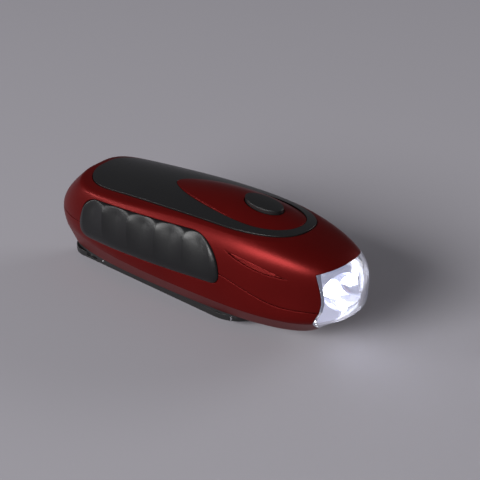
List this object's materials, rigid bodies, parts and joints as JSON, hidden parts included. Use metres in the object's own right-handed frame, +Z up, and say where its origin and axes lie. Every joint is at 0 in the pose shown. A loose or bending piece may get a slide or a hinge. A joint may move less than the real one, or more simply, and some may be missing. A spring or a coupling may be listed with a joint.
{
  "type": "hand crank flashlight",
  "caption": "Teardrop dynamo torch with side grips, a raised push button, a clear nose over lamps, and a crank arm that turns flat under the casing and drives a generator.",
  "frame": {"origin": "on the table under the middle of the casing", "axes": "+X towards the nose, +Y to the left side, +Z up"},
  "size_m": [0.119, 0.0398, 0.0427],
  "materials": {
    "red_casing": "gloss",
    "grip_rubber": "satin",
    "black_inlay": "satin gloss",
    "button_black": "satin",
    "base_black": "matt",
    "clear_lens": "clear polished plastic",
    "silver_reflector": "bright metallised",
    "lamp_clear": "clear",
    "circuit_green": "satin",
    "component_black": "matt",
    "steel": "plated",
    "bronze": "sintered",
    "gear_white": "natural",
    "gear_yellow": "natural",
    "copper": "enamelled wire",
    "magnet_grey": "sintered",
    "cell_steel": "nickel plated",
    "sleeve_blue": "film"
  },
  "bodies": {
    "casing": {"lower_shell": "red_casing", "upper_shell": "red_casing", "base_plate": "base_black", "case_screws": "steel", "top_inlay": "black_inlay", "grip_left": "grip_rubber", "grip_right": "grip_rubber", "lens": "clear_lens", "reflector": "silver_reflector", "lamp_board": "circuit_green", "lamp_left": "lamp_clear", "lamp_right": "lamp_clear", "lamp_low": "lamp_clear", "push_switch": "component_black", "main_board": "circuit_green", "capacitor": "sleeve_blue", "rectifier_chips": "component_black", "board_screws": "steel", "crank_bush": "bronze", "gear_a_axle": "steel", "gear_b_axle": "steel", "gearbox_plate": "steel", "gearbox_screws": "steel", "stator_can_lower": "steel", "stator_can_upper": "steel", "stator_coil": "copper", "rotor_bridge": "base_black", "battery_cell_1": "cell_steel", "battery_cell_2": "cell_steel", "battery_cell_3": "cell_steel", "battery_cradle": "base_black", "contact_front": "steel", "contact_rear": "steel"},
    "crank": {"crank_arm": "base_black", "crankshaft": "steel", "drive_gear": "gear_white", "cross_pin": "steel", "knob_hinge_pin": "steel"},
    "gear_a_body": {"gear_a": "gear_white"},
    "gear_b_body": {"gear_b": "gear_yellow"},
    "rotor": {"rotor_shaft": "steel", "rotor_magnet": "magnet_grey"},
    "knob": {"knob_post": "steel"},
    "knob_grip": {"knob_sleeve": "base_black"},
    "push_button": {"button": "button_black", "switch_plunger": "component_black"}
  },
  "joints": [
    {"name": "crank_spin", "type": "hinge", "parent": "casing", "child": "crank", "pos_m": [0.013, 0, 0.0025], "axis": [0, 0, 1], "continuous": true},
    {"name": "gear_a_spin", "type": "hinge", "parent": "casing", "child": "gear_a_body", "pos_m": [-0.002, 0, 0.0133], "axis": [0, 0, 1], "continuous": true},
    {"name": "gear_b_spin", "type": "hinge", "parent": "casing", "child": "gear_b_body", "pos_m": [-0.014, 0, 0.0159], "axis": [0, 0, 1], "continuous": true},
    {"name": "rotor_spin", "type": "hinge", "parent": "casing", "child": "rotor", "pos_m": [-0.0245, 0, 0.022], "axis": [0, 0, 1], "continuous": true},
    {"name": "knob_fold", "type": "hinge", "parent": "crank", "child": "knob", "pos_m": [-0.0505, 0, 0.0025], "axis": [0, 1, 0], "range_deg": [0, 90]},
    {"name": "knob_spin", "type": "hinge", "parent": "knob", "child": "knob_grip", "pos_m": [-0.0396, 0, 0.0025], "axis": [1, 0, 0], "continuous": true},
    {"name": "button_press", "type": "slide", "parent": "casing", "child": "push_button", "axis": [0, 0, -1], "range_m": [0, 0.0012], "stiffness_N_per_m": 400}
  ],
  "couplings": [
    {"joint": "gear_a_spin", "follows": "crank_spin", "ratio": -4},
    {"joint": "gear_b_spin", "follows": "crank_spin", "ratio": 12},
    {"joint": "rotor_spin", "follows": "crank_spin", "ratio": -30}
  ]
}
